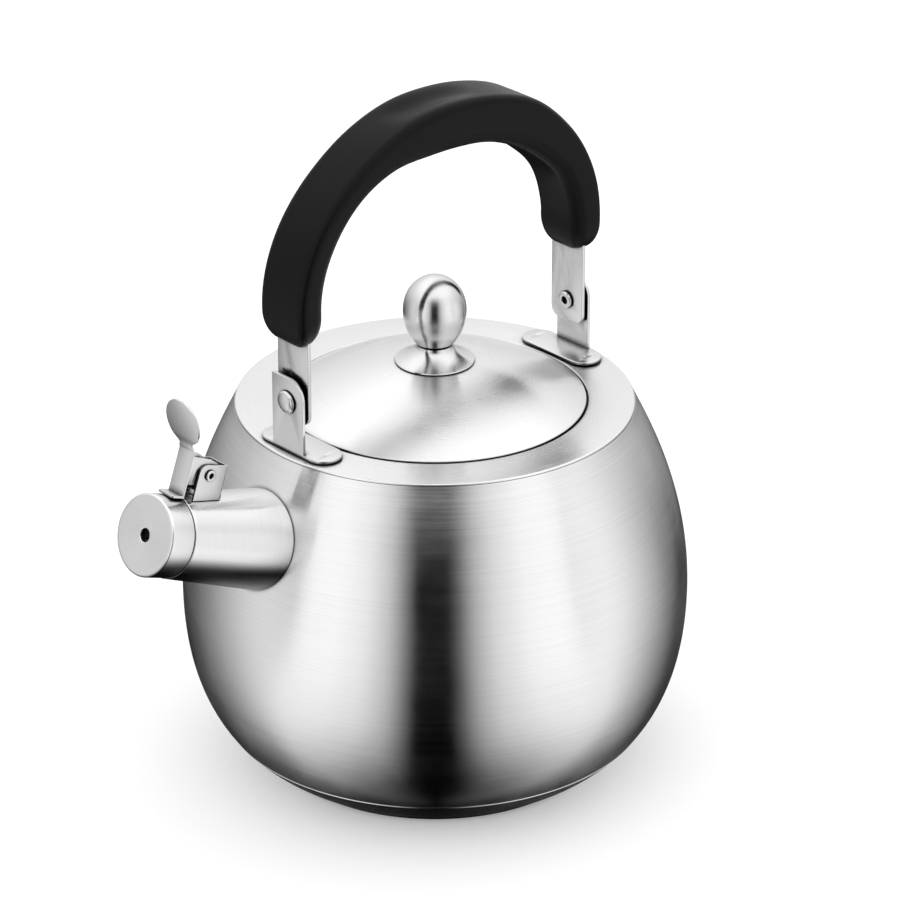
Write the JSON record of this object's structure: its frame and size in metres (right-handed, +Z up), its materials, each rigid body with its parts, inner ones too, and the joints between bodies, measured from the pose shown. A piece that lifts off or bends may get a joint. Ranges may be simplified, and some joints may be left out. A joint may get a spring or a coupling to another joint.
{
  "type": "stovetop whistling kettle",
  "caption": "Round steel stovetop kettle with a swinging arched handle, a domed lift-off lid and a short spout closed by a sprung whistle cap.",
  "frame": {"origin": "centre of the flat base, on the surface the kettle stands on", "axes": "+Z up along the body's axis, -X towards the spout, Y across the handle"},
  "size_m": [0.2367, 0.1898, 0.2628],
  "materials": {
    "brushed_steel": "brushed round the body",
    "satin_steel": "fine satin",
    "polished_steel": "polished",
    "spring_steel": "dark drawn wire",
    "core_aluminium": "plain",
    "black_moulding": "fine satin moulding",
    "washer_fibre": "matte"
  },
  "bodies": {
    "kettle": {"body_shell": "brushed_steel", "top_deck": "satin_steel", "base_cap": "brushed_steel", "base_core_disc": "core_aluminium", "spout_tube": "brushed_steel", "spout_hinge_bracket": "satin_steel", "whistle_hinge_pin": "satin_steel", "lever_torsion_spring": "spring_steel", "handle_bracket_front": "satin_steel", "handle_bracket_rear": "satin_steel", "handle_rivet_front": "polished_steel", "handle_rivet_rear": "polished_steel", "handle_washer_front": "washer_fibre", "handle_washer_rear": "washer_fibre"},
    "handle": {"handle_strap_front": "satin_steel", "handle_strap_rear": "satin_steel", "handle_grip": "black_moulding"},
    "whistle": {"whistle_lever": "satin_steel", "whistle_cap": "satin_steel", "whistle_chamber_cup": "satin_steel"},
    "lid": {"lid_dome": "satin_steel", "lid_locating_ring": "satin_steel", "knob_collar": "polished_steel", "lid_knob": "polished_steel", "knob_washer": "satin_steel", "knob_screw": "satin_steel"}
  },
  "joints": [
    {"name": "handle_swing", "type": "hinge", "parent": "kettle", "child": "handle", "pos_m": [0, 0, 0.164], "axis": [1, 0, 0], "range_deg": [-95, 95]},
    {"name": "whistle_flip", "type": "hinge", "parent": "kettle", "child": "whistle", "pos_m": [-0.11108, 0, 0.1495], "axis": [0, 1, 0], "range_deg": [0, 65], "stiffness_Nm_per_rad": 0.02, "springref_deg": -34.38, "deforming": ["lever_torsion_spring"]},
    {"name": "lid_lift", "type": "slide", "parent": "kettle", "child": "lid", "axis": [0, 0, 1], "range_m": [0, 0.045]}
  ]
}
